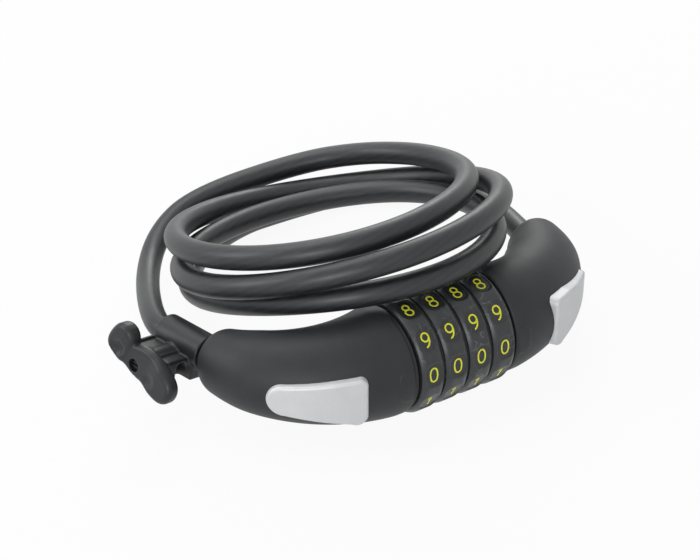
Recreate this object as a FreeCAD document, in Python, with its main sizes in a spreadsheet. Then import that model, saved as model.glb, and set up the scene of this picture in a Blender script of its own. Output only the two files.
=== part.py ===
import FreeCAD, Part
import Sketcher
import math
import os

# Bicycle cable lock with four number wheels, resting on a floor at height zero, sizes in millimetres.
# The wheel axis runs along X, the digits face the front (negative Y), and the cable is coiled behind.

doc = FreeCAD.newDocument("cable_lock")
sheet = doc.addObject("Spreadsheet::Sheet", "Sizes")
Vector = FreeCAD.Vector
sheet_rows = {}


# Sizes kept with the sheet expression that gives them
class Size:
    """A number together with the sheet expression it is worked out from."""

    def __init__(self, value, text):
        self.value = value
        self.text = text

    def __add__(self, other):
        other = as_size(other)
        return Size(self.value + other.value, "(" + self.text + " + " + other.text + ")")

    def __radd__(self, other):
        return as_size(other) + self

    def __sub__(self, other):
        other = as_size(other)
        return Size(self.value - other.value, "(" + self.text + " - " + other.text + ")")

    def __rsub__(self, other):
        return as_size(other) - self

    def __mul__(self, other):
        other = as_size(other)
        return Size(self.value * other.value, "(" + self.text + " * " + other.text + ")")

    def __rmul__(self, other):
        return as_size(other) * self

    def __truediv__(self, other):
        other = as_size(other)
        return Size(self.value / other.value, "(" + self.text + " / " + other.text + ")")

    def __neg__(self):
        return as_size(0) - self

    def sine(self):
        return Size(math.sin(math.radians(self.value)), "sin(" + self.text + " * 1deg)")

    def cosine(self):
        return Size(math.cos(math.radians(self.value)), "cos(" + self.text + " * 1deg)")


def as_size(thing):
    if isinstance(thing, Size):
        return thing
    return Size(float(thing), "(" + repr(float(thing)) + ")")


def size(name, value, meaning):
    """Write one named size into the sheet and hand it back."""
    row = str(len(sheet_rows) + 1)
    sheet.set("A" + row, name)
    sheet.set("B" + row, str(value))
    sheet.set("C" + row, meaning)
    sheet.setAlias("B" + row, name)
    sheet_rows[name] = row
    return Size(float(value), "Sizes." + name)


# Driving sizes of the lock, in the order of its parts
cable_diameter = size("cable_diameter", 8.0, "outside of the plastic cable cover")
axis_height = size("axis_height", 19.0, "wheel axis above the floor")
axis_depth = size("axis_depth", -7.25, "wheel axis behind the origin, negative is in front")
wheel_radius = size("wheel_radius", 19.0, "crown of a number wheel")
wheel_pitch = size("wheel_pitch", 9.2, "from one number wheel to the next")
wheel_width = size("wheel_width", 8.4, "thickness of a number wheel")
wheel_bore = size("wheel_bore", 12.55, "radius of the hole of a number wheel")
digit_turn = size("digit_turn", 12.0, "turn of the digits from straight up")
digit_count = size("digit_count", 10, "digits on one wheel")
pad_depth = size("pad_depth", 0.75, "digit pad below the crown")
pad_wide = size("pad_wide", 6.6, "digit pad along the axis")
pad_tall = size("pad_tall", 8.0, "digit pad around the wheel")
pad_corner = size("pad_corner", 2.9, "corner radius of a digit pad")
run_clearance = size("run_clearance", 0.05, "radial clearance of a running fit")
barrel_radius = size("barrel_radius", 7.5, "outside of the barrel")
bolt_radius = size("bolt_radius", 5.0, "shaft of the locking bolt")
slot_width = size("slot_width", 3.4, "slot along the top of the barrel")
tooth_width = size("tooth_width", 3.0, "width of a bolt tooth")
tooth_reach = size("tooth_reach", 8.9, "height of a bolt tooth above the axis")
tooth_length = size("tooth_length", 3.4, "length of a bolt tooth")
gate_width = size("gate_width", 3.6, "gate of a code ring")
gate_radius = size("gate_radius", 9.4, "depth of the gate and of the relief")
ring_radius = size("ring_radius", 12.5, "outside of a code ring")
lug_reach = size("lug_reach", 13.4, "top of a code ring lug")
groove_radius = size("groove_radius", 13.6, "bottom of a groove in the wheel bore")
dial_face = size("dial_face", 19.8, "front face of the dial cover from the middle")
plug_face = size("plug_face", 19.0, "front face of the plug cover from the middle")
socket_end = size("socket_end", 32.0, "far end of barrel and bolt collar from the middle")
ferrule_radius = size("ferrule_radius", 5.5, "outside of the cable ferrule")
ferrule_length = size("ferrule_length", 11.0, "length of the cable ferrule")
bend_start = size("bend_start", 23.4, "where the head begins to bend, from the middle")
bend_radius = size("bend_radius", 41.07, "radius of the curved centre line of the head")
bend_angle = size("bend_angle", 77.3, "turn of the head from the middle to its end")
head_radius = size("head_radius", 17.8, "cover radius where the bend begins")
head_taper = size("head_taper", 7.0, "loss of cover radius over the whole bend")
end_round = size("end_round", 5.6, "rounding of the closed end of a cover")
front_round = size("front_round", 0.5, "rounding of the open end of a cover")
channel_radius = size("channel_radius", 4.3, "cable channel through a cover")
plate_rise = size("plate_rise", 1.0, "plate above the cover")
sleeve_radius = size("sleeve_radius", 6.0, "outside of the bracket sleeve")
sleeve_length = size("sleeve_length", 20.0, "length of the bracket sleeve")
sleeve_play = size("sleeve_play", 0.35, "radial play of the sleeve on the cable")
sleeve_gap = size("sleeve_gap", 1.5, "from the head end to the sleeve")
bracket_roll = size("bracket_roll", 11.7, "turn of the bracket about the cable, wing side up")
wing_offset = size("wing_offset", 18.0, "inner face of the wing from the cable axis")
wing_drop = size("wing_drop", 2.7, "wing middle below the cable axis")
wing_thick = size("wing_thick", 4.0, "thickness of the wing")
wing_near = size("wing_near", 10.6, "middle of the lobe near the head from the screw")
wing_far = size("wing_far", 8.2, "middle of the lobe away from the head from the screw")
lobe_lift = size("lobe_lift", 1.8, "lobe middles beside the screw")
lobe_radius = size("lobe_radius", 4.9, "radius of a wing lobe")
wing_round = size("wing_round", 1.4, "rounding of the outer rim of the wing")
hub_radius = size("hub_radius", 4.2, "radius of the bracket hub")
screw_radius = size("screw_radius", 1.2, "shank of the bracket screw")
screw_head = size("screw_head", 2.0, "head of the bracket screw")
doc.recompute()


# Small helpers for bodies, sketches and placements
along_x = FreeCAD.Rotation(Vector(1, 0, 1), 180)
made_parts = []


def keep(made, label):
    """Give an object its final name and note it for export."""
    made.Label = label
    made_parts.append(made)
    return made


def place(made, x, y, z, rotation=None):
    """Put an object at a point whose coordinates follow the sheet."""
    x, y, z = as_size(x), as_size(y), as_size(z)
    turned = rotation if rotation is not None else FreeCAD.Rotation()
    made.Placement = FreeCAD.Placement(Vector(x.value, y.value, z.value), turned)
    made.setExpression("Placement.Base.x", x.text)
    made.setExpression("Placement.Base.y", y.text)
    made.setExpression("Placement.Base.z", z.text)
    return made


def give(made, **sizes):
    """Set properties of an object and tie them to the sheet."""
    for name, value in sizes.items():
        value = as_size(value)
        setattr(made, name, value.value)
        made.setExpression(name, value.text)
    return made


def new_body(label):
    body = doc.addObject("PartDesign::Body", label)
    body.Label = label
    return body


def origin_plane(body, role):
    for feature in body.Origin.OriginFeatures:
        if feature.Role == role:
            return feature
    raise ValueError(role)


def new_sketch(body, role, name):
    sketch = body.newObject("Sketcher::SketchObject", name)
    sketch.AttachmentSupport = [(origin_plane(body, role), "")]
    sketch.MapMode = "FlatFace"
    return sketch


def pin(sketch, geometry, x, y):
    """Hold the start of a sketch line at a point that follows the sheet."""
    for kind, value, axis in (("DistanceX", as_size(x), -2), ("DistanceY", as_size(y), -1)):
        if abs(value.value) < 1e-9:
            sketch.addConstraint(Sketcher.Constraint("PointOnObject", geometry, 1, axis))
        elif value.value > 0:
            index = sketch.addConstraint(Sketcher.Constraint(kind, -1, 1, geometry, 1, value.value))
            sketch.setExpression("Constraints[" + str(index) + "]", value.text)
        else:
            index = sketch.addConstraint(Sketcher.Constraint(kind, geometry, 1, -1, 1, -value.value))
            sketch.setExpression("Constraints[" + str(index) + "]", (-value).text)


def outline(sketch, points):
    """Closed outline through points; a third entry is the radius of the arc to the next point."""
    count = len(points)
    first = sketch.GeometryCount
    for index in range(count):
        here = points[index]
        there = points[(index + 1) % count]
        a = Vector(as_size(here[0]).value, as_size(here[1]).value, 0)
        b = Vector(as_size(there[0]).value, as_size(there[1]).value, 0)
        if len(here) == 2:
            sketch.addGeometry(Part.LineSegment(a, b), False)
            continue
        radius = as_size(here[2]).value
        half = (b - a).Length / 2
        side = Vector(-(b - a).y, (b - a).x, 0).normalize()
        centre = (a + b) / 2 + side * math.sqrt(max(radius * radius - half * half, 0.0))
        start = math.atan2(a.y - centre.y, a.x - centre.x)
        stop = math.atan2(b.y - centre.y, b.x - centre.x)
        sketch.addGeometry(Part.ArcOfCircle(Part.Circle(centre, Vector(0, 0, 1), radius), start, stop), False)
    for index in range(count):
        following = first + (index + 1) % count
        sketch.addConstraint(Sketcher.Constraint("Coincident", first + index, 2, following, 1))
    for index in range(count):
        pin(sketch, first + index, points[index][0], points[index][1])
        if len(points[index]) == 3:
            radius = as_size(points[index][2])
            number = sketch.addConstraint(Sketcher.Constraint("Radius", first + index, radius.value))
            sketch.setExpression("Constraints[" + str(number) + "]", radius.text)


def rounded_box(half_x, half_y, corner):
    """Points of a rectangle with round corners about the origin."""
    hx, hy, c = as_size(half_x), as_size(half_y), as_size(corner)
    return [
        (-hx + c, -hy), (hx - c, -hy, c), (hx, -hy + c), (hx, hy - c, c),
        (hx - c, hy), (-hx + c, hy, c), (-hx, hy - c), (-hx, -hy + c, c),
    ]


def turned(label, points):
    """Body turned about its own Z axis from a half section of (radius, height) points."""
    body = new_body(label)
    sketch = new_sketch(body, "XZ_Plane", label + "_section")
    outline(sketch, points)
    feature = body.newObject("PartDesign::Revolution", label + "_turned")
    feature.Profile = (sketch, [""])
    feature.ReferenceAxis = (sketch, ["V_Axis"])
    feature.Angle = 360
    sketch.Visibility = False
    return body


def box_feature(body, kind, name, low, high, turn=None):
    """Add or cut a box between two corners in the body's own frame."""
    box = body.newObject("PartDesign::" + kind + "Box", name)
    spans = [as_size(b) - as_size(a) for a, b in zip(low, high)]
    give(box, Length=spans[0], Width=spans[1], Height=spans[2])
    if turn is None:
        place(box, low[0], low[1], low[2])
        return box
    base = FreeCAD.Rotation(Vector(0, 0, 1), turn)
    corner = base.multVec(Vector(*[as_size(v).value for v in low]))
    box.Placement = FreeCAD.Placement(corner, base)
    return box


def hole_feature(body, name, radius, length, x, y, z, rotation=None):
    """Cut a cylinder in the body's own frame."""
    hole = body.newObject("PartDesign::SubtractiveCylinder", name)
    give(hole, Radius=radius, Height=length)
    place(hole, x, y, z, rotation)
    return hole


def repeat_round(body, feature, name, count):
    """Repeat a feature evenly about the body's Z axis."""
    pattern = body.newObject("PartDesign::PolarPattern", name)
    pattern.Originals = [feature]
    pattern.Axis = (origin_plane(body, "Z_Axis"), [""])
    pattern.Angle = 360
    pattern.Occurrences = int(count.value)
    pattern.setExpression("Occurrences", count.text)
    body.Tip = pattern
    return pattern


def wheel_place(index):
    """X position of a number wheel counted from the left."""
    return wheel_pitch * (index - 1.5)


# Number wheels and the code rings that they carry
def number_wheel(index):
    label = "number_wheel_" + str(index + 1)
    half = wheel_width / 2
    crown = wheel_radius
    points = [
        (wheel_bore, -half),
        (crown - 1.15, -half),
        (crown - 0.55, -half + 0.25),
        (crown - 0.15, -half + 0.95),
        (crown, -half + 2.2),
        (crown, half - 2.2),
        (crown - 0.15, half - 0.95),
        (crown - 0.55, half - 0.25),
        (crown - 1.15, half),
        (wheel_bore, half),
    ]
    body = turned(label, points)
    groove = box_feature(
        body, "Subtractive", label + "_groove",
        (wheel_bore - 1, -1, -half - 1), (groove_radius, 1, half + 1), digit_turn.value * 1.5,
    )
    repeat_round(body, groove, label + "_grooves", digit_count)
    pad = body.newObject("Sketcher::SketchObject", label + "_pad")
    pad.AttachmentSupport = [(origin_plane(body, "YZ_Plane"), "")]
    pad.MapMode = "FlatFace"
    pad.AttachmentOffset = FreeCAD.Placement(Vector(0, 0, (crown - pad_depth).value), FreeCAD.Rotation())
    pad.setExpression("AttachmentOffset.Base.z", (crown - pad_depth).text)
    outline(pad, rounded_box(pad_tall / 2, pad_wide / 2, pad_corner))
    pocket = body.newObject("PartDesign::Pocket", label + "_pad_cut")
    pocket.Profile = (pad, [""])
    pocket.Reversed = True
    pocket.Length = 3.0
    repeat_round(body, pocket, label + "_pads", digit_count)
    place(body, wheel_place(index), axis_depth, axis_height, along_x * FreeCAD.Rotation(Vector(0, 0, 1), digit_turn.value))
    return keep(body, label)


def code_ring(index):
    label = "code_ring_" + str(index + 1)
    half = wheel_width / 2
    land = as_size(0.2)
    points = [
        (gate_radius, -half),
        (ring_radius, -half),
        (ring_radius, half),
        (barrel_radius + run_clearance, half),
        (barrel_radius + run_clearance, land),
        (gate_radius, land),
    ]
    body = turned(label, points)
    box_feature(
        body, "Subtractive", label + "_gate",
        (4, -gate_width / 2, land - 1), (gate_radius, gate_width / 2, half + 1),
    )
    for number, turn in enumerate((30, 210)):
        box_feature(
            body, "Additive", label + "_lug_" + str(number + 1),
            (ring_radius - 0.6, -0.9, -half), (lug_reach, 0.9, half), turn,
        )
    place(body, wheel_place(index), axis_depth, axis_height, along_x)
    return keep(body, label)


for wheel in range(4):
    number_wheel(wheel)
    code_ring(wheel)


# Barrel of the dial half, with its slot, and the rings that stand on it
def barrel():
    shelf = socket_end - ferrule_length
    clip = wheel_place(3) + wheel_width / 2 + 0.1
    points = [
        (ferrule_radius, -socket_end),
        (barrel_radius, -socket_end),
        (barrel_radius, clip),
        (barrel_radius - 0.5, clip),
        (barrel_radius - 0.5, clip + 0.85),
        (barrel_radius, clip + 0.85),
        (barrel_radius, clip + 1.5),
        (bolt_radius + run_clearance, clip + 1.5),
        (bolt_radius + run_clearance, -shelf + 1),
        (0, -shelf + 1),
        (0, -shelf),
        (ferrule_radius, -shelf),
    ]
    body = turned("barrel", points)
    box_feature(
        body, "Subtractive", "barrel_slot",
        (0, -slot_width / 2, -shelf + 1), (barrel_radius + 1, slot_width / 2, clip + 3),
    )
    hole_feature(
        body, "barrel_pin_hole", as_size(1.25), barrel_radius * 2 + 2, 0, -barrel_radius - 1, -socket_end + 7.5,
        FreeCAD.Rotation(Vector(1, 0, 0), -90),
    )
    hole_feature(
        body, "barrel_screw_hole", as_size(1.5), as_size(4), -barrel_radius - 1, 0, -socket_end + 3.5,
        FreeCAD.Rotation(Vector(0, 1, 0), 90),
    )
    place(body, 0, axis_depth, axis_height, along_x)
    return keep(body, "barrel")


def flat_ring(label, inner, outer, start, thick):
    """Plain ring about the wheel axis."""
    body = turned(label, [(inner, start), (outer, start), (outer, start + thick), (inner, start + thick)])
    place(body, 0, axis_depth, axis_height, along_x)
    return body


def rings():
    first = wheel_place(0) - wheel_width / 2
    flange = flat_ring("flange_ring", barrel_radius, as_size(17.2), -dial_face, dial_face + first - 0.8)
    keep(flange, "flange_ring")
    washer = flat_ring("pressure_washer", barrel_radius + 0.05, as_size(11.5), first - 0.8, as_size(0.7))
    keep(washer, "pressure_washer")
    for index in range(3):
        gap = wheel_place(index) + wheel_width / 2
        label = "spacer_ring_" + str(index + 1)
        spacer = flat_ring(label, barrel_radius, as_size(17.4), gap + 0.15, wheel_pitch - wheel_width - 0.3)
        box_feature(
            spacer, "Subtractive", label + "_gate",
            (0, -slot_width / 2, gap - 1), (gate_radius, slot_width / 2, gap + 2),
        )
        keep(spacer, label)
    start = wheel_place(3) + wheel_width / 2 + 0.1
    clip = flat_ring("retaining_clip", barrel_radius - 0.5, as_size(9.8), start, as_size(0.85))
    box_feature(
        clip, "Subtractive", "clip_opening",
        (0, -slot_width / 2 - 0.6, start - 1), (14, slot_width / 2 + 0.6, start + 2),
    )
    keep(clip, "retaining_clip")


barrel()
rings()


# Locking bolt of the plug half
def locking_bolt():
    tip = socket_end - ferrule_length - 2.5
    shoulder = plug_face + 1
    points = [
        (0, -tip),
        (bolt_radius - 0.8, -tip),
        (bolt_radius, -tip + 0.8),
        (bolt_radius, shoulder),
        (barrel_radius, shoulder),
        (barrel_radius, socket_end),
        (ferrule_radius, socket_end),
        (ferrule_radius, socket_end - ferrule_length),
        (0, socket_end - ferrule_length),
    ]
    body = turned("locking_bolt", points)
    for index in range(4):
        rear = wheel_place(index) - 0.2
        box_feature(
            body, "Additive", "bolt_tooth_" + str(index + 1),
            (0, -tooth_width / 2, rear - tooth_length), (tooth_reach, tooth_width / 2, rear),
        )
    hole_feature(
        body, "bolt_pin_hole", as_size(1.25), barrel_radius * 2 + 2, 0, -barrel_radius - 1, socket_end - 7.5,
        FreeCAD.Rotation(Vector(1, 0, 0), -90),
    )
    hole_feature(
        body, "bolt_screw_hole", as_size(1.5), as_size(4), -barrel_radius - 1, 0, socket_end - 3.5,
        FreeCAD.Rotation(Vector(0, 1, 0), 90),
    )
    place(body, 0, axis_depth, axis_height, along_x)
    return keep(body, "locking_bolt")


locking_bolt()


# Ferrules, cross pins and cover screws, one set for each half
def ferrule(label, side):
    cable = cable_diameter / 2
    points = [
        (0, 0),
        (ferrule_radius, 0),
        (ferrule_radius, ferrule_length),
        (cable + 0.05, ferrule_length),
        (cable + 0.05, 2),
        (0, 2),
    ]
    body = turned(label, points)
    hole_feature(
        body, label + "_pin_hole", as_size(1.25), ferrule_radius * 2 + 2, 0, -ferrule_radius - 1, ferrule_length - 7.5,
        FreeCAD.Rotation(Vector(1, 0, 0), -90),
    )
    turn = FreeCAD.Rotation(Vector(0, 1, 0), 90 * side)
    place(body, (socket_end - ferrule_length) * side, axis_depth, axis_height, turn)
    return keep(body, label)


def cross_pin(label, side):
    body = turned(label, [(0, -barrel_radius + 0.4), (1.25, -barrel_radius + 0.4), (1.25, -4.2), (0, -4.2)])
    place(body, (socket_end - 7.5) * side, axis_depth, axis_height, FreeCAD.Rotation(Vector(1, 0, 0), -90))
    return keep(body, label)


def cover_screw(label, side):
    depth = as_size(10.5)
    points = [
        (0, 0),
        (1.5, 0),
        (1.5, depth),
        (0, depth),
    ]
    body = turned(label, points)
    box_feature(body, "Subtractive", label + "_slot", (-2, -0.3, -1), (2, 0.3, 0.8))
    place(body, (socket_end - 3.5) * side, axis_depth, axis_height - ferrule_radius - 0.4 - depth)
    return keep(body, label)


# Centre line of the head and its cross sections
def head_centre(side, angle):
    """Middle of the head section at a turn of the bend."""
    x = (bend_start + bend_radius * angle.sine()) * side
    y = axis_depth + bend_radius * (1 - angle.cosine())
    return x, y, axis_height


def section_radius(angle):
    """Cover radius at a turn of the bend."""
    return head_radius - head_taper * angle / bend_angle


def section(label, side, angle, radius, x=None):
    """One round cross section, square to the centre line."""
    made = doc.addObject("Part::Circle", label)
    give(made, Radius=radius)
    along = Vector(side * angle.cosine().value, angle.sine().value, 0)
    up = Vector(0, 0, 1)
    frame = FreeCAD.Rotation(up, along.cross(up), along, "ZXY")
    if x is None:
        place(made, *head_centre(side, angle), rotation=frame)
    else:
        place(made, x, axis_depth, axis_height, rotation=frame)
    made.Visibility = False
    return made


def tube_along(points, radius, bends):
    """Round tube along straight runs joined by tangent arcs of the given radii."""
    edges = []
    start = points[0]
    for index in range(1, len(points) - 1):
        before = (points[index] - points[index - 1]).normalize()
        after = (points[index + 1] - points[index]).normalize()
        half = before.getAngle(after) / 2
        reach = bends[index - 1] * math.tan(half)
        first = points[index] - before * reach
        last = points[index] + after * reach
        bow = (after - before).normalize()
        middle = points[index] + bow * (bends[index - 1] / math.cos(half) - bends[index - 1])
        if (first - start).Length > 1e-4:
            edges.append(Part.LineSegment(start, first).toShape())
        edges.append(Part.Arc(first, middle, last).toShape())
        start = last
    if (points[-1] - start).Length > 1e-4:
        edges.append(Part.LineSegment(start, points[-1]).toShape())
    wire = Part.Wire(edges)
    disc = Part.Circle(points[0], (points[1] - points[0]).normalize(), radius).toShape()
    pipe = wire.makePipeShell([Part.Wire([disc])], True, False)
    return pipe, wire.Length


def exit_frame(side):
    """Point and outward direction of the cable where it leaves a cover."""
    point = Vector(*[as_size(v).value for v in head_centre(side, bend_angle)])
    along = Vector(side * bend_angle.cosine().value, bend_angle.sine().value, 0)
    return point, along


def root_points(side):
    """Corners of the cable inside a cover, from the ferrule to the exit."""
    point, along = exit_frame(side)
    start = Vector(side * (socket_end - ferrule_length + 2).value, axis_depth.value, axis_height.value)
    travel = (point.y - start.y) / along.y
    corner = point - along * travel
    return [start, corner, point]


root_bend = 29.0


def cable_root(label, side):
    shape, length = tube_along(root_points(side), cable_diameter.value / 2, [root_bend])
    made = doc.addObject("Part::Feature", label)
    made.Shape = shape
    print(label, "length", round(length, 2), "radius", root_bend)
    return keep(made, label)


def cover(label, side, face):
    """Curved tapering cover with a round closed end, bored for barrel, ferrule and cable."""
    sections = [section(label + "_face", side, as_size(0), head_radius, face * side)]
    steps = 7
    for number in range(steps + 1):
        angle = bend_angle * (number / steps)
        sections.append(section(label + "_section_" + str(number), side, angle, section_radius(angle)))
    loft = doc.addObject("Part::Loft", label + "_form")
    loft.Sections = sections
    loft.Solid = True
    loft.Ruled = False
    doc.recompute()
    point, along = exit_frame(side)
    rims = []
    for number, edge in enumerate(loft.Shape.Edges):
        middle = edge.BoundBox.Center
        if abs((middle - point).dot(along)) < 0.01:
            rims.append((number + 1, end_round.value, end_round.value))
        elif abs(middle.x - (face * side).value) < 0.01:
            rims.append((number + 1, front_round.value, front_round.value))
    rounded = doc.addObject("Part::Fillet", label + "_rounded")
    rounded.Base = loft
    rounded.Edges = rims
    bore = doc.addObject("Part::Cylinder", label + "_bore")
    give(bore, Radius=barrel_radius, Height=socket_end - face + 1)
    start = (face - 1) * side
    place(bore, start, axis_depth, axis_height, FreeCAD.Rotation(Vector(0, 1, 0), 90 * side))
    tools = [bore]
    if side > 0:
        recess = doc.addObject("Part::Cylinder", label + "_recess")
        give(recess, Radius=barrel_radius + 2.6, Height=as_size(2))
        place(recess, start, axis_depth, axis_height, FreeCAD.Rotation(Vector(0, 1, 0), 90))
        tools.append(recess)
    screw = doc.addObject("Part::Cylinder", label + "_screw_hole")
    give(screw, Radius=as_size(1.5), Height=axis_height)
    place(screw, (socket_end - 3.5) * side, axis_depth, as_size(-1))
    tools.append(screw)
    points = root_points(side)
    lead_in = Vector(side * (socket_end - 0.5).value, axis_depth.value, axis_height.value)
    beyond = points[2] + (points[2] - points[1]).normalize() * 2
    channel = doc.addObject("Part::Feature", label + "_channel")
    channel.Shape = tube_along([lead_in, points[1], beyond], channel_radius.value, [root_bend])[0]
    tools.append(channel)
    cutters = doc.addObject("Part::MultiFuse", label + "_cutters")
    cutters.Shapes = tools
    made = doc.addObject("Part::Cut", label)
    made.Base = rounded
    made.Tool = cutters
    return keep(made, label), rounded


dial_shell = cover("dial_cover", -1, dial_face)[1]
plug_shell = cover("plug_cover", 1, plug_face)[1]


# Silver plates on the front of the two covers
def plate(label, side, shell):
    """Curved plate, upright in section, set on the cover like a badge."""
    middle = as_size(28.5)
    face = []
    back = []
    for number in range(9):
        angle = as_size(8 + 5.5 * number)
        radius = section_radius(angle)
        centre = Vector(*[as_size(v).value for v in head_centre(side, angle)])
        out = Vector(side * angle.sine().value, -angle.cosine().value, 0)
        face.append(centre + out * (radius + plate_rise).value)
        back.append(centre + out * (radius.value * 0.45))
    front_curve = Part.BSplineCurve()
    front_curve.interpolate(face)
    back_curve = Part.BSplineCurve()
    back_curve.interpolate(back)
    edges = [
        front_curve.toShape(), Part.LineSegment(face[-1], back[-1]).toShape(),
        back_curve.toShape(), Part.LineSegment(back[0], face[0]).toShape(),
    ]
    low = Vector(0, 0, -10)
    strip = Part.Face(Part.Wire(Part.__sortEdges__(edges)))
    strip.translate(low)
    strip = strip.extrude(Vector(0, 0, 24))
    centre = Vector(*[as_size(v).value for v in head_centre(side, middle)])
    out = Vector(side * middle.sine().value, -middle.cosine().value, 0)
    along = Vector(side * middle.cosine().value, middle.sine().value, 0)
    origin = centre + out * 10

    def at(w, h):
        return origin + along * w + Vector(0, 0, h)

    outline_edges = [
        Part.Arc(at(-15.6, 8.4), at(-14.9, 10.1), at(-13.2, 10.8)).toShape(),
        Part.LineSegment(at(-13.2, 10.8), at(-6.6, 9.2)).toShape(),
        Part.LineSegment(at(-6.6, 9.2), at(10.4, 6.2)).toShape(),
        Part.Arc(at(10.4, 6.2), at(15.4, 0.6), at(10.0, -4.8)).toShape(),
        Part.LineSegment(at(10.0, -4.8), at(-10.4, -8.1)).toShape(),
        Part.LineSegment(at(-10.4, -8.1), at(-13.4, -8.2)).toShape(),
        Part.Arc(at(-13.4, -8.2), at(-15.0, -7.6), at(-15.6, -6.0)).toShape(),
        Part.LineSegment(at(-15.6, -6.0), at(-15.6, 8.4)).toShape(),
    ]
    prism = Part.Face(Part.Wire(outline_edges)).extrude(out * 20)
    shape = strip.common(prism).cut(shell.Shape)
    solids = sorted(shape.Solids, key=lambda solid: -solid.Volume)
    made = doc.addObject("Part::Feature", label)
    made.Shape = solids[0]
    return keep(made, label)


doc.recompute()
plate("dial_plate", -1, dial_shell)
plate("plug_plate", 1, plug_shell)
for name, way in (("dial", -1), ("plug", 1)):
    ferrule(name + "_ferrule", way)
    cross_pin(name + "_cross_pin", way)
    cover_screw(name + "_cover_screw", way)
    cable_root(name + "_cable_root", way)


# Bracket on the cable: sleeve with hub, winged thumb piece and screw
def bracket_place(body, x, y, z, rotation=None):
    """Place a piece given in the bracket's frame: X along the cable, Y away from it."""
    point, along = exit_frame(-1)
    middle = point + along * (sleeve_gap + sleeve_length / 2).value
    outward = Vector(-along.y, along.x, 0)
    if outward.x > 0:
        outward = outward * -1
    level = FreeCAD.Rotation(along, outward, along.cross(outward), "ZXY")
    frame = FreeCAD.Rotation(along, bracket_roll.value) * level
    own = FreeCAD.Placement(Vector(x, y, z), rotation if rotation is not None else FreeCAD.Rotation())
    body.Placement = FreeCAD.Placement(middle, frame) * own
    return body


def bracket_sleeve():
    body = new_body("bracket_sleeve")
    sketch = new_sketch(body, "YZ_Plane", "sleeve_end")
    sketch.addGeometry(Part.Circle(Vector(0, 0, 0), Vector(0, 0, 1), sleeve_radius.value), False)
    sketch.addConstraint(Sketcher.Constraint("Coincident", 0, 3, -1, 1))
    sketch.addConstraint(Sketcher.Constraint("Radius", 0, sleeve_radius.value))
    sketch.setExpression("Constraints[1]", sleeve_radius.text)
    tube = body.newObject("PartDesign::Pad", "sleeve_tube")
    tube.Profile = (sketch, [""])
    tube.Midplane = True
    give(tube, Length=sleeve_length)
    box_feature(body, "Additive", "saddle", (-7.5, 2, -7.2), (2.8, 11.5, 1.2))
    box_feature(body, "Additive", "arm_plate", (-3.4, 3, 1.2), (2.8, wing_offset - 0.4, 3.5))
    box_feature(body, "Additive", "arm_lip", (1.7, 3, 3.5), (2.8, wing_offset - 0.4, 4.7))
    hub = body.newObject("PartDesign::AdditiveCylinder", "hub")
    give(hub, Radius=hub_radius, Height=wing_offset - 8)
    place(hub, 0, 8, -wing_drop, FreeCAD.Rotation(Vector(1, 0, 0), -90))
    hole_feature(body, "saddle_arch", as_size(2.4), as_size(16), -8, 5.4, -7.6, FreeCAD.Rotation(Vector(0, 1, 0), 90))
    hole_feature(
        body, "sleeve_bore", cable_diameter / 2 + sleeve_play, sleeve_length + 2,
        -sleeve_length / 2 - 1, 0, 0, FreeCAD.Rotation(Vector(0, 1, 0), 90),
    )
    hole_feature(
        body, "hub_hole", screw_radius, as_size(9), 0, wing_offset - 8, -wing_drop,
        FreeCAD.Rotation(Vector(1, 0, 0), -90),
    )
    bracket_place(body, 0, 0, 0)
    return keep(body, "bracket_sleeve")


def bracket_wing():
    """Two lobed thumb piece; its own Z runs outward along the hub and X along the lobes."""
    body = new_body("bracket_wing")
    sketch = new_sketch(body, "XY_Plane", "wing_outline")
    r = lobe_radius
    waist = hub_radius - 0.6
    near = -wing_near
    low, high = -lobe_lift - r, -lobe_lift + r
    points = [
        (wing_far, low, r * 1.02),
        (wing_far, high),
        (2.2, waist),
        (-2.2, waist),
        (near, high, r * 1.02),
        (near, low),
        (-2.2, -waist),
        (2.2, -waist),
    ]
    outline(sketch, points)
    pad = body.newObject("PartDesign::Pad", "wing_plate")
    pad.Profile = (sketch, [""])
    give(pad, Length=wing_thick)
    doc.recompute()
    rim = []
    for number, edge in enumerate(pad.Shape.Edges):
        if edge.BoundBox.ZMin > wing_thick.value - 0.01:
            rim.append("Edge" + str(number + 1))
    soft = body.newObject("PartDesign::Fillet", "wing_rim")
    soft.Base = (pad, rim)
    give(soft, Radius=wing_round)
    hub = body.newObject("PartDesign::AdditiveCylinder", "wing_hub")
    give(hub, Radius=hub_radius, Height=wing_thick - 0.6)
    for number, middle in enumerate((wing_far, near)):
        scoop = body.newObject("PartDesign::SubtractiveSphere", "scoop_" + str(number + 1))
        give(scoop, Radius=as_size(9))
        place(scoop, middle, -lobe_lift, wing_thick + 7.9)
    hole_feature(body, "wing_hole", screw_radius + run_clearance, wing_thick + 2, 0, 0, as_size(-1))
    hole_feature(body, "wing_recess", screw_head + 0.2, wing_thick, 0, 0, wing_thick - 2.4)
    upright = FreeCAD.Rotation(Vector(1, 0, 0), -90)
    lean = FreeCAD.Rotation(Vector(0, 0, 1), -31)
    bracket_place(body, 0, wing_offset.value + 0.1, -wing_drop.value, upright * lean)
    return keep(body, "bracket_wing")


def bracket_screw():
    shank = as_size(8)
    under = wing_thick - 2.4 + 0.15
    points = [
        (0, -shank),
        (screw_radius, -shank),
        (screw_radius, under),
        (screw_head, under),
        (screw_head, under + 0.7),
        (screw_head - 0.6, under + 1.2),
        (0, under + 1.2),
    ]
    body = turned("bracket_screw", points)
    box_feature(body, "Subtractive", "screw_slot", (-4, -0.35, under + 0.7), (4, 0.35, under + 3))
    bracket_place(body, 0, wing_offset.value + 0.0, -wing_drop.value, FreeCAD.Rotation(Vector(1, 0, 0), -90))
    return keep(body, "bracket_screw")


bracket_sleeve()
bracket_wing()
bracket_screw()


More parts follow.
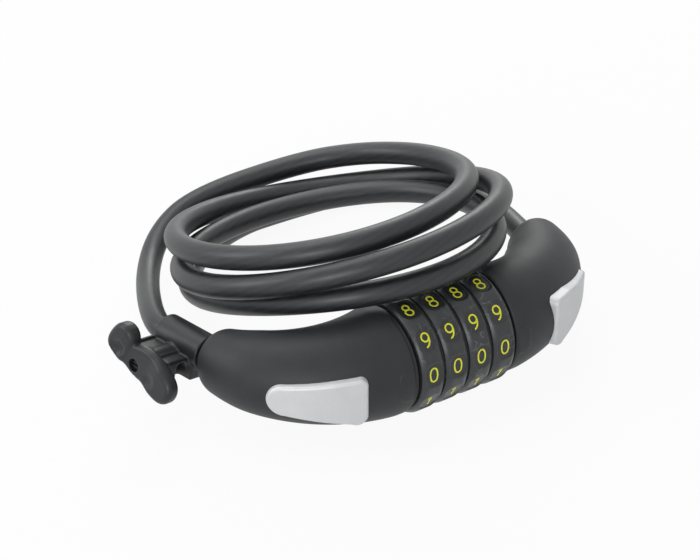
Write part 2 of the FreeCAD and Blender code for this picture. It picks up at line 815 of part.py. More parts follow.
# Coil of the cable behind the head, laid by hand at every quarter turn
coil_centre = Vector(-3.4, 52.5 + axis_depth.value, 0)
coil_first = 0.19
coil_last = 3.2
bearing_start = 145.8
coil_reach = [62.7, 61.6, 43.0, 45.1, 52.5, 56.2, 54.6, 52.3, 50.3, 43.8, 52.7, 50.8, 48.2, 73.0, 78.0]
coil_height = [11.4, 29.4, 52.4, 54.7, 32.5, 20.0, 49.5, 49.6, 22.8, 22.6, 38.1, 40.3, 13.2, 4.6, 13.0]


def spline_slopes(values):
    """Slopes of the smooth curve through evenly spaced values."""
    last = len(values) - 1
    slopes = [0.0] * (last + 1)
    for _ in range(80):
        slopes[0] = (3 * (values[1] - values[0]) - slopes[1]) / 2
        for n in range(1, last):
            slopes[n] = (3 * (values[n + 1] - values[n - 1]) - slopes[n - 1] - slopes[n + 1]) / 4
        slopes[last] = (3 * (values[last] - values[last - 1]) - slopes[last - 1]) / 2
    return slopes


def spline_value(values, slopes, quarter):
    """Value of the smooth curve at a number of quarter turns."""
    n = min(int(quarter), len(values) - 2)
    u = quarter - n
    start = (2 * u ** 3 - 3 * u ** 2 + 1) * values[n] + (u ** 3 - 2 * u ** 2 + u) * slopes[n]
    return start + (3 * u ** 2 - 2 * u ** 3) * values[n + 1] + (u ** 3 - u ** 2) * slopes[n + 1]


reach_slopes = spline_slopes(coil_reach)
height_slopes = spline_slopes(coil_height)


def coil_point(turn):
    """Point on the coil after a number of turns, clockwise from the left seen from above."""
    reach = spline_value(coil_reach, reach_slopes, turn * 4)
    height = spline_value(coil_height, height_slopes, turn * 4)
    bearing = math.radians(bearing_start - 360 * turn)
    return coil_centre + Vector(reach * math.cos(bearing), reach * math.sin(bearing), height)


def coil_heading(turn):
    step = 0.002
    return (coil_point(turn + step) - coil_point(turn - step)).normalize()


def biarc(p, t, q, u):
    """Two arcs that leave p along t and arrive at q along u."""
    v = q - p
    both = t + u
    a = 2 * (1 - t.dot(u))
    b = 2 * v.dot(both)
    if abs(a) < 1e-9:
        reach = v.dot(v) / b
    else:
        reach = (-b + math.sqrt(b * b + 4 * a * v.dot(v))) / (2 * a)
    first = p + t * reach
    last = q - u * reach
    joint = (first + last) / 2
    arcs = []
    for start, corner, stop in ((p, first, joint), (joint, last, q)):
        chord = (start + stop) / 2
        inward = chord - corner
        leg = (corner - start).Length
        half = (stop - start).Length / 2
        if inward.Length < 1e-6:
            arcs.append(Part.LineSegment(start, stop).toShape())
            continue
        radius = leg * half / inward.Length
        far = corner + inward.normalize() * (math.sqrt(radius * radius + leg * leg) - radius)
        arcs.append(Part.Arc(start, far, stop).toShape())
    return arcs


def cable_coil():
    """One unbroken tube through the coil, with a straight diameter at each end."""
    span_count = 24
    turns = [coil_first + (coil_last - coil_first) * n / span_count for n in range(span_count + 1)]
    places = [coil_point(turn) for turn in turns]
    headings = [coil_heading(turn) for turn in turns]
    reach = cable_diameter.value
    start = places[0] - headings[0] * reach
    stop = places[-1] + headings[-1] * reach
    edges = [Part.LineSegment(start, places[0]).toShape()]
    for n in range(span_count):
        edges += biarc(places[n], headings[n], places[n + 1], headings[n + 1])
    edges.append(Part.LineSegment(places[-1], stop).toShape())
    wire = Part.Wire(edges)
    disc = Part.Circle(start, headings[0], cable_diameter.value / 2).toShape()
    made = doc.addObject("Part::Feature", "cable_coil")
    made.Shape = wire.makePipeShell([Part.Wire([disc])], True, False)
    points = wire.discretize(Number=800)
    step = wire.Length / 799
    apart = int(120 / step)
    least = 1e9
    for i in range(0, len(points) - apart, 4):
        for j in range(i + apart, len(points)):
            least = min(least, (points[i] - points[j]).Length)
    tight = 1e9
    for edge in wire.Edges:
        if hasattr(edge.Curve, "Radius"):
            tight = min(tight, edge.Curve.Radius)
    expected = wire.Length * math.pi * cable_diameter.value ** 2 / 4
    print("cable_coil length", round(wire.Length, 1), "least gap", round(least - cable_diameter.value, 2),
          "tightest radius", round(tight, 1), "volume ratio", round(made.Shape.Volume / expected, 4))
    keep(made, "cable_coil")
    return start, headings[0], stop, headings[-1], wire


coil_start, start_heading, coil_stop, stop_heading, coil_wire = cable_coil()


# Free stretches of the cable from the two halves to the coil
def free_stretch(label, points):
    """Tube along a route chosen by hand, each corner rounded as far as its runs allow."""
    bends = []
    for index in range(1, len(points) - 1):
        before = points[index] - points[index - 1]
        after = points[index + 1] - points[index]
        half = before.getAngle(after) / 2
        bends.append(0.45 * min(before.Length, after.Length) / math.tan(half))
    shape, length = tube_along(points, cable_diameter.value / 2, bends)
    made = doc.addObject("Part::Feature", label)
    made.Shape = shape
    expected = length * math.pi * cable_diameter.value ** 2 / 4
    print(label, "length", round(length, 1), "radii", [round(b, 1) for b in bends],
          "volume ratio", round(shape.Volume / expected, 4))
    return keep(made, label)


def behind(x, y, z):
    """Point given from the wheel axis."""
    return Vector(x, y + axis_depth.value, z)


dial_exit, dial_out = exit_frame(-1)
plug_exit, plug_out = exit_frame(1)
lead_route = [
    dial_exit,
    dial_exit + dial_out * 31.2,
    behind(-50.6, 98.5, 9.5),
    behind(-34.5, 117.2, 13.2),
    coil_start - start_heading * 20,
    coil_start,
]
tail_route = [
    coil_stop,
    coil_stop + stop_heading * 22,
    behind(64.5, 105.2, 5.5),
    behind(73, 85.2, 10.5),
    plug_exit + plug_out * 26,
    plug_exit,
]
free_stretch("cable_lead", lead_route)
free_stretch("cable_tail", tail_route)


# Build, test and write the parts
doc.recompute()
for thing in doc.Objects:
    states = [str(state) for state in thing.State]
    if "Invalid" in states or "Error" in states:
        raise RuntimeError(thing.Name + " did not build")
os.makedirs("parts", exist_ok=True)
low = Vector(1e9, 1e9, 1e9)
high = Vector(-1e9, -1e9, -1e9)
for made in made_parts:
    shape = made.Shape
    if shape.isNull() or not shape.isValid():
        raise RuntimeError(made.Label + " has no valid shape")
    if len(shape.Solids) != 1:
        raise RuntimeError(made.Label + " is not one solid")
    shape.exportStep("parts/" + made.Label + ".step")
    box = shape.BoundBox
    print(made.Label, round(shape.Volume, 1), "x", round(box.XMin, 2), round(box.XMax, 2),
          "y", round(box.YMin, 2), round(box.YMax, 2), "z", round(box.ZMin, 2), round(box.ZMax, 2))
print(len(made_parts), "parts written")
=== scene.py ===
import bpy
import bmesh
import math
import numpy as np
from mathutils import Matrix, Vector


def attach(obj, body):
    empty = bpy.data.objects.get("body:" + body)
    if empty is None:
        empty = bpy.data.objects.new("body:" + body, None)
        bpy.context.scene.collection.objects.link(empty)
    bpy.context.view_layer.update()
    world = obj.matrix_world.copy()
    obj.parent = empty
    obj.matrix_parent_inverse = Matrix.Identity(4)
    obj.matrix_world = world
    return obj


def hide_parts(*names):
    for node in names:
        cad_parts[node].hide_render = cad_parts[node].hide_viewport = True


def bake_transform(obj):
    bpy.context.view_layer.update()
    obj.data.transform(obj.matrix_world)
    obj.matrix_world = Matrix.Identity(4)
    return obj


# Dress of a bicycle cable lock with four number wheels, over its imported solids, in metres.
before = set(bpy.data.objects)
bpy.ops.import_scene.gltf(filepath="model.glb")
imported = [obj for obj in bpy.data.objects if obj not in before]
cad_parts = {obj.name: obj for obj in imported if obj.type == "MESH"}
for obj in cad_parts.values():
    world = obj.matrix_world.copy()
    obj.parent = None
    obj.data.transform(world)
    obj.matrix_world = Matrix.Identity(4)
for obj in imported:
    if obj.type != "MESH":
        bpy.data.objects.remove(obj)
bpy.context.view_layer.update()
MM = 0.001

# Sizes in millimetres, with the angles and shares that go with them
axis_depth = -7.25
axis_height = 19.0
cable_radius = 4.0
wheel_radius = 19.0
wheel_pitch = 9.2
wheel_width = 8.4
wheel_bore = 12.6
wheel_chamfer = 0.4
wheel_shoulder = 1.9
crown_flat = 1.7
crown_run = 2.5
crown_drop = 1.15
pad_floor = 18.25
pad_half_wide = 3.3
pad_half_tall = 4.0
pad_corner = 2.9
digit_start_degrees = 6.0
digit_scale = 1.03
stroke_half = 0.29
paint_rise = 0.11
bend_start = 23.4
bend_radius = 41.07
bend_angle = math.radians(77.3)
bend_length = bend_radius * bend_angle
head_radius = 17.8
head_taper = 7.0
end_round = 5.6
end_reach = 18.0
end_narrow = 0.17
end_flat = 0.05
shell_bore = 7.5
recess_bore = 10.1
recess_deep = 1.0
cable_hole = 4.3
dial_face = 19.8
plug_face = 19.0
face_rim = 0.9
mark_corner = 2.4
mark_rise = 0.28
screw_place = 28.5
screw_hole = 1.5
screw_hole_deep = 9.0
sleeve_gap = 1.5
sleeve_length = 20.0
sleeve_radius = 6.0
sleeve_clearance = 0.15
arm_radius = 3.3
bracket_roll = math.radians(11.7)
wing_offset = 18.1
wing_drop = 2.7
wing_thick = 4.0
wing_lean = math.radians(28.0)
wing_edge = 1.75
saddle_round = 2.35


# Meshes from computed points
def piece(name, points, faces, body=None, angle=40.0):
    """Mesh object at the origin from points in millimetres, with outward faces."""
    mesh = bpy.data.meshes.new(name)
    mesh.from_pydata([tuple(p) for p in np.asarray(points, float) * MM], [], faces)
    work = bmesh.new()
    work.from_mesh(mesh)
    bmesh.ops.remove_doubles(work, verts=work.verts, dist=1e-7)
    bmesh.ops.recalc_face_normals(work, faces=work.faces)
    work.to_mesh(mesh)
    work.free()
    mesh.shade_smooth()
    mesh.set_sharp_from_angle(angle=math.radians(angle))
    made = bpy.data.objects.new(name, mesh)
    bpy.context.scene.collection.objects.link(made)
    if body:
        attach(made, body)
    return made


def weave(rows, columns, close_rows=False, close_columns=True):
    """Quads between the points of a grid, joined round where asked."""
    faces = []
    for r in range(rows if close_rows else rows - 1):
        below = r * columns
        above = ((r + 1) % rows) * columns
        for c in range(columns if close_columns else columns - 1):
            d = (c + 1) % columns
            faces.append((below + c, below + d, above + d, above + c))
    return faces


def smooth_step(value):
    """3 v^2 - 2 v^3 between 0 and 1."""
    value = np.clip(value, 0.0, 1.0)
    return value * value * (3 - 2 * value)


def carve(made, cutter):
    """Cut one mesh object with another and drop the cutter."""
    modifier = made.modifiers.new("cut", "BOOLEAN")
    modifier.object = cutter
    modifier.solver = "EXACT"
    bpy.context.view_layer.update()
    graph = bpy.context.evaluated_depsgraph_get()
    fresh = bpy.data.meshes.new_from_object(made.evaluated_get(graph))
    made.modifiers.clear()
    made.data = fresh
    bpy.data.objects.remove(cutter)
    return made


# Head: centre line and skin
def head_frame(side, along):
    """Centre and outward direction of the head at an arc length from the start of its bend."""
    turn = np.clip(along, 0.0, None) / bend_radius
    straight = np.minimum(along, 0.0)
    x = side * (bend_start + straight + bend_radius * np.sin(turn))
    y = axis_depth + bend_radius * (1 - np.cos(turn))
    centre = np.stack([x, y, np.full_like(x, axis_height)], -1)
    outward = np.stack([side * np.sin(turn), -np.cos(turn), np.zeros_like(x)], -1)
    return centre, outward


def head_skin(side, along, around, radius):
    """centre(along) + radius (cos(around) outward + sin(around) up), drawn in a little near the end."""
    centre, outward = head_frame(side, along)
    up = np.array([0.0, 0.0, 1.0])
    near_end = smooth_step((along - bend_length + end_reach) / end_reach)
    near_end = near_end * smooth_step((radius - 5.0) / 3.0)
    across = radius * (1 - end_narrow * near_end) * np.cos(around)
    upward = radius * (1 - end_flat * near_end) * np.sin(around)
    return centre + across[..., None] * outward + upward[..., None] * up


def skin_radius(along):
    """Radius of the head, falling evenly toward its end."""
    return head_radius - head_taper * np.clip(along / bend_length, 0.0, 1.0)


def cover(name, side, face, body, node, recess):
    """Tapering curved tube: rings of the head skin, rounded into a closed end round the cable."""
    first = face - bend_start
    rings = [(first + 3.0, shell_bore)]
    if recess:
        floor_place = first + recess_deep
        rings += [(floor_place, shell_bore), (floor_place, recess_bore), (first, recess_bore)]
    else:
        rings += [(first, shell_bore)]
    for step in range(6):
        u = math.radians(90 * step / 5)
        rim_radius = head_radius - face_rim + face_rim * math.sin(u)
        rings.append((first + face_rim * (1 - math.cos(u)), rim_radius))
    stop = bend_length - end_round
    for along in np.linspace(first + 1.5, stop, 64):
        rings.append((along, float(skin_radius(np.array(along)))))
    for step in range(1, 13):
        u = math.radians(90 * step / 12)
        along = stop + end_round * math.sin(u)
        rings.append((along, float(skin_radius(np.array(along))) - end_round * (1 - math.cos(u))))
    rings += [
        (bend_length, cable_hole + 0.45),
        (bend_length - 0.25, cable_hole + 0.1),
        (bend_length - 4.0, cable_hole),
    ]
    columns = 112
    along = np.repeat(np.array([r[0] for r in rings])[:, None], columns, 1)
    radius = np.repeat(np.array([r[1] for r in rings])[:, None], columns, 1)
    around = np.repeat((np.arange(columns) * 2 * math.pi / columns)[None, :], len(rings), 0)
    points = head_skin(side, along, around, radius).reshape(-1, 3)
    made = piece(name, points, weave(len(rings), columns), None, 32.0)
    bpy.ops.mesh.primitive_cylinder_add(
        vertices=40, radius=screw_hole * MM, depth=screw_hole_deep * MM,
        location=(side * screw_place * MM, axis_depth * MM, 3.0 * MM),
    )
    cutter = bpy.context.object
    made = carve(made, cutter)
    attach(made, body)
    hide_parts(node)
    return made


dial_cover = cover("dial_shell", -1, dial_face, "head", "dial_cover", False)
plug_cover = cover("plug_shell", 1, plug_face, "plug", "plug_cover", True)


def index_mark(name, side, body, first, last, low, high):
    """Faint raised mark with one round side, lying on the head skin beside the wheels."""
    rows, columns = 44, 52
    half_long = (last - first) / 2
    half_tall = (high - low) / 2
    p = np.linspace(-1.12, 1.12, rows)[:, None] * half_long * np.ones((1, columns))
    q = np.linspace(-1.08, 1.08, columns)[None, :] * half_tall * np.ones((rows, 1))
    past_corner = np.maximum(p + half_long - mark_corner, 0)
    past_flank = np.maximum(np.abs(q) - half_tall + 3.2, 0) * 0.75
    inside = mark_corner - np.hypot(past_corner, past_flank)
    inside = np.minimum(inside, np.minimum(p + half_long, half_tall - np.abs(q)))
    rise = mark_rise * smooth_step((inside + 0.1) / 0.55) - 0.05
    rise -= 0.5 * smooth_step(-inside / 0.2)
    along = first + half_long + p
    around = np.arcsin((low + half_tall + q) / head_radius)
    points = head_skin(side, along, around, skin_radius(along) + rise).reshape(-1, 3)
    made = piece(name, points, weave(rows, columns, False, False), body)
    return made


dial_index = index_mark("dial_index", -1, "head", -2.9, 2.4, -5.5, 6.5)
plug_index = index_mark("plug_index", 1, "plug", -3.7, 1.5, -4.0, 6.0)


# Silver plates
def plate_outline(top):
    """Badge outline in its own plane: as high as the top toward the wheels, round toward the end."""
    def stroke(a, b, count):
        """Straight run of points, all but its last."""
        t = np.linspace(0, 1, count, endpoint=False)[:, None]
        return (1 - t) * np.array(a, float) + t * np.array(b, float)

    def bow(a, through, b, count):
        """Part of the circle through three points."""
        a, through, b = (np.array(v, float) for v in (a, through, b))
        sides = np.array([through - a, b - a]) * 2
        middle = np.linalg.solve(sides, [through @ through - a @ a, b @ b - a @ a])
        angles = np.unwrap([math.atan2(*(v - middle)[::-1]) for v in (a, through, b)])
        t = np.linspace(angles[0], angles[2], count, endpoint=False)
        return middle + np.linalg.norm(a - middle) * np.stack([np.cos(t), np.sin(t)], -1)

    return np.vstack([
        bow((-15.6, top - 2.4), (-14.9, top - 0.7), (-13.2, top), 12),
        stroke((-13.2, top), (-6.6, top - 0.4), 8),
        stroke((-6.6, top - 0.4), (10.4, 5.6), 18),
        bow((10.4, 5.6), (15.4, 0.3), (10.0, -4.9), 30),
        stroke((10.0, -4.9), (-10.4, -8.3), 22),
        bow((-10.4, -8.3), (-14.0, -8.3), (-15.6, -6.2), 12),
        stroke((-15.6, -6.2), (-15.6, top - 2.4), 14),
    ])


def plate(name, side, body, node, top):
    """Plate curved along the head, upright in section, its rim rounded, its edge let into the cover."""
    middle = math.radians(28.5)
    edge = plate_outline(top)
    ahead = np.roll(edge, -1, 0) - np.roll(edge, 1, 0)
    normal = np.stack([ahead[:, 1], -ahead[:, 0]], -1)
    normal /= np.linalg.norm(normal, axis=1)[:, None]
    inward = normal * np.sign(-(normal * (edge - edge.mean(0))).sum(1).mean())
    rim = 0.95
    rings = []
    core = edge + inward * 1.25
    for share in (0.02, 0.2, 0.38, 0.55, 0.7, 0.84, 0.94):
        rings.append((core.mean(0) + (core - core.mean(0)) * share, 0.0))
    rings.append((core, 0.0))
    for step in range(0, 9):
        u = math.radians(90 * step / 8)
        rings.append((edge + inward * (rim * (1 - math.sin(u))), rim * (1 - math.cos(u))))
    for sink in (2.0, 3.5, 5.0, 6.5):
        rings.append((edge, sink))
    centre, outward = head_frame(side, np.array([bend_radius * middle]))
    centre, outward = centre[0], outward[0]
    level = np.array([side * math.cos(middle), math.sin(middle), 0.0])
    angle = np.radians(np.linspace(2, 62, 241))
    spine, away = head_frame(side, bend_radius * angle)
    front = spine + away * (skin_radius(bend_radius * angle) + 1.0)[:, None]
    reach = (front - centre) @ level
    points = []
    for flat, sink in rings:
        x = np.interp(flat[:, 0], reach, front[:, 0])
        y = np.interp(flat[:, 0], reach, front[:, 1])
        spot = np.stack([x, y, axis_height + flat[:, 1]], -1) - outward * sink
        points.append(spot)
    count = len(edge)
    faces = weave(len(rings), count)
    faces.append(tuple(range(count)))
    made = piece(name, np.vstack(points), faces, body, 50.0)
    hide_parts(node)
    return made


dial_plate = plate("dial_badge", -1, "head", "dial_plate", 7.5)
plug_plate = plate("plug_badge", 1, "plug", "plug_plate", 9.4)


# Number wheels
def wheel_crown(across):
    """Radius of the crowned rim at a distance from the wheel's middle."""
    return wheel_radius - crown_drop * np.clip((np.abs(across) - crown_flat) / crown_run, 0.0, 1.0) ** 2.3


def wheel_surface(across, around):
    """Crown minus ten rounded pads: flat floors at one distance, let in inside a rounded rectangle."""
    pitch = math.radians(36.0)
    away = (around - math.radians(digit_start_degrees) + pitch / 2) % pitch - pitch / 2
    crown = wheel_crown(across)
    tangent = pad_floor * np.tan(away)
    qx = np.abs(across) - (pad_half_wide - pad_corner)
    qy = np.abs(tangent) - (pad_half_tall - pad_corner)
    outside = np.hypot(np.maximum(qx, 0), np.maximum(qy, 0)) + np.minimum(np.maximum(qx, qy), 0)
    share = smooth_step((0.18 - (outside - pad_corner)) / 0.5)
    floor = pad_floor / np.cos(away)
    return crown - share * np.maximum(crown - floor, 0.0), share


def wheel(index):
    """Ring whose outside follows wheel_surface, closed by side faces and the bore."""
    middle = wheel_pitch * (index - 1.5)
    columns = 560
    around = np.arange(columns) * 2 * math.pi / columns
    across = np.sin(np.linspace(-math.pi / 2, math.pi / 2, 47)) * (wheel_width / 2 - 0.02)
    side = wheel_width / 2
    flank = [
        (side - wheel_chamfer, wheel_bore),
        (side, wheel_bore + wheel_chamfer),
        (side, wheel_radius - wheel_shoulder),
    ]
    rows, pads = [], np.zeros((2 * len(flank) + len(across), columns))
    for x, r in flank:
        rows.append((np.full(columns, -x), np.full(columns, r)))
    for number, x in enumerate(across):
        shape, pads[len(flank) + number] = wheel_surface(np.full(columns, x), around)
        rows.append((np.full(columns, x), shape))
    for x, r in reversed(flank):
        rows.append((np.full(columns, x), np.full(columns, r)))
    points = []
    for x, r in rows:
        across_head, up = axis_depth - r * np.cos(around), axis_height + r * np.sin(around)
        points.append(np.stack([middle + x, across_head, up], -1))
    name = "wheel_" + str(index + 1)
    made = piece(name, np.vstack(points), weave(len(rows), columns, True), name, 44.0)
    # Pad share kept on the mesh for the painted shade of the pads
    inside = made.data.attributes.new("in_pad", "FLOAT", "POINT")
    inside.data.foreach_set("value", pads.astype(np.float32).ravel())
    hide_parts("number_" + name)
    return made


def arc(cx, cy, rx, ry, start, stop, count=40):
    """Part of an ellipse, angles in degrees from the right, turning left."""
    angle = np.radians(np.linspace(start, stop, count))
    return np.stack([cx + rx * np.cos(angle), cy + ry * np.sin(angle)], -1)


def run(*corners):
    """Straight strokes through corners, closely spaced."""
    parts = []
    for a, b in zip(corners[:-1], corners[1:]):
        a, b = np.array(a, float), np.array(b, float)
        count = max(int(np.linalg.norm(b - a) / 0.12), 3)
        parts.append(a + (b - a) * np.linspace(0, 1, count)[:, None])
    return np.vstack(parts)


def strokes(digit):
    """Centre lines of one digit's strokes, up to 2.9 mm wide and 4.4 mm tall, as (path, closed) pairs."""
    if digit == 0:
        angle = np.radians(np.linspace(0, 360, 72, endpoint=False))
        c, s = np.cos(angle), np.sin(angle)
        return [(np.stack([1.3 * np.sign(c) * abs(c) ** 0.85, 2.2 * np.sign(s) * abs(s) ** 0.9], -1), True)]
    if digit == 1:
        return [(run((-0.8, 1.35), (0.25, 2.2), (0.25, -2.2)), False)]
    if digit == 2:
        foot = run((1.05, 0.35), (-1.25, -2.2), (1.35, -2.2))
        return [(np.vstack([arc(0, 0.95, 1.2, 1.25, 165, -25), foot]), False)]
    if digit == 3:
        return [(np.vstack([arc(0, 1.1, 1.1, 1.1, 150, -80), arc(0, -1.0, 1.3, 1.2, 82, -150)]), False)]
    if digit == 4:
        return [(run((0.7, -2.2), (0.7, 2.2), (-1.4, -0.95), (1.45, -0.95)), False)]
    if digit == 5:
        head = run((1.1, 2.2), (-0.9, 2.2), (-1.05, 0.25))
        return [(np.vstack([head, arc(0, -0.8, 1.3, 1.4, 128, -148)]), False)]
    if digit == 6:
        loop = arc(0, -0.9, 1.25, 1.3, 0, 354, 60)
        return [(loop, True), (arc(0.85, -0.75, 2.1, 2.95, 95, 178), False)]
    if digit == 7:
        return [(run((-1.25, 2.2), (1.25, 2.2), (-0.35, -2.2)), False)]
    if digit == 8:
        return [(arc(0, 1.12, 1.02, 1.05, 0, 354, 50), True), (arc(0, -1.0, 1.25, 1.2, 0, 354, 56), True)]
    return [(-path, closed) for path, closed in strokes(6)]


def ribbon(path, closed, offset):
    """Painted stroke, its height across going as sqrt(1 - (v / w)^4), its width rounded at the ends."""
    ahead = np.roll(path, -1, 0) - np.roll(path, 1, 0)
    if not closed:
        ahead[0] = path[1] - path[0]
        ahead[-1] = path[-1] - path[-2]
    ahead /= np.linalg.norm(ahead, axis=1)[:, None] + 1e-12
    normal = np.stack([-ahead[:, 1], ahead[:, 0]], -1)
    width = np.full(len(path), stroke_half)
    if not closed:
        walked = np.concatenate([[0], np.cumsum(np.linalg.norm(np.diff(path, axis=0), axis=1))])
        left = np.minimum(walked, walked[-1] - walked)
        near = np.clip(left / stroke_half, 0.02, 1)
        width = stroke_half * np.sqrt(np.clip(1 - (1 - near) ** 2, 0.0, 1))
    across = np.array([-1.0, -0.92, -0.6, 0.0, 0.6, 0.92, 1.0])
    flat = path[:, None, :] + normal[:, None, :] * (across[None, :, None] * width[:, None, None])
    high = paint_rise * np.sqrt(np.clip(1 - across ** 4, 0, 1)) - 0.03
    high = np.repeat(high[None, :], len(path), 0)
    points = np.concatenate([flat, high[..., None]], -1).reshape(-1, 3)
    faces = [tuple(offset + v for v in f) for f in weave(len(path), len(across), closed, False)]
    return points, faces


def digits(index):
    """The ten digits of one wheel, standing on the floors of its pads."""
    middle = wheel_pitch * (index - 1.5)
    points, faces, count = [], [], 0
    for digit in range(10):
        angle = math.radians(digit_start_degrees - 36.0 * digit)
        out = np.array([0, -math.cos(angle), math.sin(angle)])
        up = np.array([0, math.sin(angle), math.cos(angle)])
        base = np.array([middle, axis_depth, axis_height]) + out * pad_floor
        for path, closed in strokes(digit):
            flat, quads = ribbon(path * digit_scale, closed, count)
            spot = base + flat[:, :1] * np.array([1.0, 0, 0]) + flat[:, 1:2] * up + flat[:, 2:3] * out
            points.append(spot)
            faces += quads
            count += len(flat)
    made = piece("digits_" + str(index + 1), np.vstack(points), faces, "wheel_" + str(index + 1), 60.0)
    return made


wheels = [wheel(index) for index in range(4)]
numbers = [digits(index) for index in range(4)]


# Rounded solids from distance fields
def join(a, b, blend):
    """Smooth union of two distance fields."""
    h = np.maximum(blend - np.abs(a - b), 0) / blend
    return np.minimum(a, b) - h * h * blend / 4


def cut(a, b, blend):
    """Smooth removal of b from a."""
    return -join(-a, b, blend)


def box_field(x, y, z, low, high, rounding):
    """Box between two corners, its edges rounded."""
    low, high = np.array(low, float), np.array(high, float)
    middle, half = (low + high) / 2, (high - low) / 2 - rounding
    qx, qy, qz = (np.abs(v - m) - h for v, m, h in zip((x, y, z), middle, half))
    outside = np.sqrt(np.maximum(qx, 0) ** 2 + np.maximum(qy, 0) ** 2 + np.maximum(qz, 0) ** 2)
    return outside + np.minimum(np.maximum(qx, np.maximum(qy, qz)), 0) - rounding


def rod_field(across_one, across_two, along, radius, low, high, rounding):
    """Round bar with rounded edges."""
    qr = np.hypot(across_one, across_two) - radius + rounding
    qa = np.abs(along - (low + high) / 2) - (high - low) / 2 + rounding
    return np.hypot(np.maximum(qr, 0), np.maximum(qa, 0)) + np.minimum(np.maximum(qr, qa), 0) - rounding


def net_surface(field, low, high, step):
    """Closed surface where field = 0: a point in each crossed cell, drawn onto it by field / slope."""
    axes = [np.arange(low[k], high[k] + step, step) for k in range(3)]
    grid = np.meshgrid(*axes, indexing="ij")
    value = field(*grid)
    inside = value < 0
    cells = tuple(len(a) - 1 for a in axes)
    total = np.zeros(cells)
    for i in (0, 1):
        for j in (0, 1):
            for k in (0, 1):
                total += inside[i:i + cells[0], j:j + cells[1], k:k + cells[2]]
    crossed = (total > 0) & (total < 8)
    number = -np.ones(cells, int)
    number[crossed] = np.arange(crossed.sum())
    place = np.argwhere(crossed)
    points = np.array(low) + (place + 0.5) * step
    tiny = step * 0.05
    for _ in range(6):
        here = field(points[:, 0], points[:, 1], points[:, 2])
        slope = np.stack([
            field(points[:, 0] + tiny, points[:, 1], points[:, 2]) - here,
            field(points[:, 0], points[:, 1] + tiny, points[:, 2]) - here,
            field(points[:, 0], points[:, 1], points[:, 2] + tiny) - here,
        ], -1) / tiny
        steep = np.maximum((slope ** 2).sum(1), 0.2)[:, None]
        points = points - np.clip(here[:, None] * slope / steep, -step * 0.6, step * 0.6)
    faces = []
    for axis in range(3):
        one, two = [k for k in range(3) if k != axis]
        here = [slice(None)] * 3
        there = [slice(None)] * 3
        here[axis] = slice(0, -1)
        there[axis] = slice(1, None)
        change = inside[tuple(here)] != inside[tuple(there)]
        spots = np.argwhere(change)
        kept = (spots[:, one] > 0) & (spots[:, two] > 0)
        kept &= (spots[:, one] < cells[one]) & (spots[:, two] < cells[two])
        spots = spots[kept]
        step_one = np.zeros(3, int)
        step_two = np.zeros(3, int)
        step_one[one] = 1
        step_two[two] = 1
        corners = [spots - step_one - step_two, spots - step_two, spots, spots - step_one]
        quad = np.stack([number[tuple(c.T)] for c in corners], -1)
        faces += [tuple(q) for q in quad[(quad >= 0).all(1)].tolist()]
    return points, faces


dial_exit = head_frame(-1, np.array([bend_length]))[0][0]
dial_out = np.array([-math.cos(bend_angle), math.sin(bend_angle), 0.0])
plug_exit = dial_exit * np.array([-1, 1, 1])
plug_out = dial_out * np.array([-1, 1, 1])
bracket_level = np.array([-dial_out[1], dial_out[0], 0.0])
bracket_middle = dial_exit + dial_out * (sleeve_gap + sleeve_length / 2)
bracket_side = bracket_level * math.cos(bracket_roll) + np.array([0.0, 0.0, math.sin(bracket_roll)])
upright = np.cross(dial_out, bracket_side)


def sleeve_field(x, y, z):
    """Sleeve round the cable, its slotted block with foot and ledge, the arm to the wing, and the bores."""
    shape = rod_field(y, z, x, sleeve_radius, -10.4, 8.8, 0.5)
    block = box_field(x, y, z, (-7.5, 2.0, -7.4), (6.0, 14.5, -0.9), 0.7)
    block = cut(block, rod_field(y - 8.4, z + 4.4, x, 2.3, -12.0, -2.4, 0.1), 0.4)
    block = cut(block, box_field(x, y, z, (-12.0, 6.1, -9.0), (-2.4, 10.7, -4.4), 0.1), 0.3)
    foot = join(
        box_field(x, y, z, (-2.6, 0.0, -9.3), (1.6, 14.0, -3.0), 0.6),
        box_field(x, y, z, (-8.0, -2.6, -9.3), (1.6, 4.6, -4.6), 0.6), 0.6,
    )
    block = join(block, foot, 0.6)
    ledge = box_field(x, y, z, (-3.4, 3.0, -1.9), (8.8, 16.6, -0.3), 0.5)
    lip = box_field(x, y, z, (7.6, 3.0, -1.9), (8.8, 16.6, 0.5), 0.4)
    arm = rod_field(x, z + wing_drop, y, arm_radius, 6.0, 18.0, 0.3)
    shape = join(shape, block, 0.8)
    shape = join(shape, join(ledge, lip, 0.5), 0.6)
    shape = join(shape, arm, 0.9)
    shape = cut(shape, rod_field(y, z, x, cable_radius + sleeve_clearance, -14.0, 14.0, 0.1), 0.3)
    return cut(shape, rod_field(x, z + wing_drop, y, 1.2, 9.0, 22.0, 0.05), 0.1)


saddle_corners = np.array([
    (9.6, -1.2), (-1.0, -1.5), (-5.2, 0.0), (-12.6, 0.4), (-15.0, 2.2),
    (-14.8, 5.2), (-12.6, 6.6), (-8.0, 7.2), (-2.2, 6.8), (1.5, 4.8),
    (4.4, 1.6), (6.8, 6.4), (10.0, 6.2), (10.9, 3.2), (10.9, -0.2),
])
# Each pass cuts every corner at a quarter of its sides
for _ in range(2):
    ahead = np.roll(saddle_corners, -1, 0)
    cut_pair = [0.75 * saddle_corners + 0.25 * ahead, 0.25 * saddle_corners + 0.75 * ahead]
    saddle_corners = np.stack(cut_pair, 1).reshape(-1, 2)


